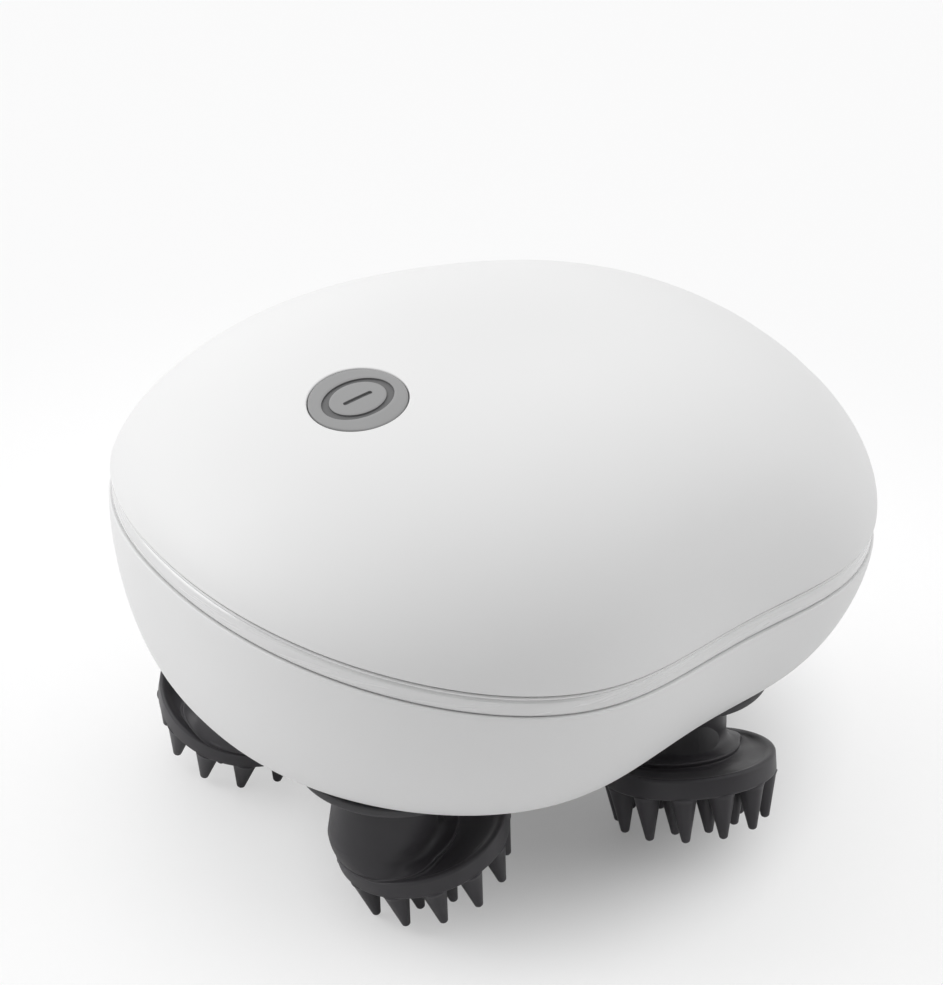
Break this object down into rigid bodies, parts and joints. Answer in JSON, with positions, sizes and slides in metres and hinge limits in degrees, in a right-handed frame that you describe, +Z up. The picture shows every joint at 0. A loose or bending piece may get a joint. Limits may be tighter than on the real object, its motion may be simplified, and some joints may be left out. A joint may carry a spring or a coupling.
{
  "type": "electric scalp massager",
  "caption": "Palm-held electric scalp massager: waisted dome body with a power button, trim band, and round tilted rubber claws turned by gears on its underside.",
  "frame": {"origin": "on the ground plane under the tine tips, below the middle of the body's length and width", "axes": "+X along the body from the power-button end to the charging-socket end, +Z up from the tine tips to the crown, +Y to the left seen from the button end"},
  "size_m": [0.128, 0.1054, 0.0862],
  "materials": {
    "shell_white": "satin-gloss white ABS",
    "trim_clear": "silvery translucent trim",
    "claw_rubber": "matte charcoal silicone rubber",
    "claw_hub": "matte charcoal hard plastic",
    "seal_rubber": "matte black",
    "button_grey": "satin grey plastic",
    "nylon": "natural nylon",
    "steel": "turned steel",
    "motor_steel": "zinc-plated steel can",
    "board": "green solder mask",
    "cell_wrap": "shrink-wrapped cell",
    "contact_brass": "gold-plated brass",
    "switch_black": "black"
  },
  "bodies": {
    "housing": {"top_shell": "shell_white", "trim_band": "trim_clear", "bottom_shell": "shell_white", "collars": "claw_hub", "shaft_seals": "seal_rubber", "lower_bushes": "nylon", "upper_bushes": "nylon", "gearbox_plate": "nylon", "gearbox_cover": "nylon", "gearbox_screws": "steel", "case_screws": "steel", "motor_can": "motor_steel", "motor_screws": "steel", "main_pcb": "board", "pcb_screws": "steel", "tact_switch": "motor_steel", "button_guide": "shell_white", "button_seal": "seal_rubber", "battery_cell": "cell_wrap", "battery_holder": "switch_black", "charge_socket": "claw_hub", "charge_contacts": "contact_brass"},
    "drive": {"drive_gear": "nylon", "drive_axle": "steel", "drive_wheel": "nylon"},
    "counter": {"counter_axle": "steel", "counter_pinion": "steel", "counter_wheel": "nylon"},
    "rotor": {"motor_shaft": "steel", "motor_pinion": "contact_brass"},
    "button": {"power_button": "button_grey", "switch_plunger": "switch_black"},
    "claw_1": {"spindle_1": "steel", "spindle_clip_1": "steel", "claw_gear_1": "nylon", "claw_core_1": "claw_hub", "claw_pad_1": "claw_rubber"},
    "claw_2": {"spindle_2": "steel", "spindle_clip_2": "steel", "claw_gear_2": "nylon", "claw_core_2": "claw_hub", "claw_pad_2": "claw_rubber"},
    "claw_3": {"spindle_3": "steel", "spindle_clip_3": "steel", "claw_gear_3": "nylon", "claw_core_3": "claw_hub", "claw_pad_3": "claw_rubber"},
    "claw_4": {"spindle_4": "steel", "spindle_clip_4": "steel", "claw_gear_4": "nylon", "claw_core_4": "claw_hub", "claw_pad_4": "claw_rubber"}
  },
  "joints": [
    {"name": "drive_spin", "type": "hinge", "parent": "housing", "child": "drive", "pos_m": [-0.004, 0, 0.035], "axis": [0, 0, 1], "continuous": true},
    {"name": "claw_spin_1", "type": "hinge", "parent": "housing", "child": "claw_1", "pos_m": [-0.0325, -0.01944, 0.03], "axis": [0, 0, 1], "continuous": true},
    {"name": "claw_spin_2", "type": "hinge", "parent": "housing", "child": "claw_2", "pos_m": [-0.0325, 0.01944, 0.03], "axis": [0, 0, 1], "continuous": true},
    {"name": "claw_spin_3", "type": "hinge", "parent": "housing", "child": "claw_3", "pos_m": [0.0245, -0.01944, 0.03], "axis": [0, 0, 1], "continuous": true},
    {"name": "claw_spin_4", "type": "hinge", "parent": "housing", "child": "claw_4", "pos_m": [0.0245, 0.01944, 0.03], "axis": [0, 0, 1], "continuous": true},
    {"name": "counter_spin", "type": "hinge", "parent": "housing", "child": "counter", "pos_m": [0.017, 0, 0.0458], "axis": [0, 0, 1], "continuous": true},
    {"name": "motor_spin", "type": "hinge", "parent": "housing", "child": "rotor", "pos_m": [-0.004, 0, 0.0568], "axis": [0, 0, 1], "continuous": true},
    {"name": "button_press", "type": "slide", "parent": "housing", "child": "button", "axis": [0.1678, 0, -0.9858], "range_m": [0, 0.0008], "stiffness_N_per_m": 800}
  ],
  "couplings": [
    {"joint": "claw_spin_1", "follows": "drive_spin", "ratio": -1.875},
    {"joint": "claw_spin_2", "follows": "drive_spin", "ratio": -1.875},
    {"joint": "claw_spin_3", "follows": "drive_spin", "ratio": -1.875},
    {"joint": "claw_spin_4", "follows": "drive_spin", "ratio": -1.875},
    {"joint": "counter_spin", "follows": "drive_spin", "ratio": -5},
    {"joint": "motor_spin", "follows": "drive_spin", "ratio": 25}
  ]
}
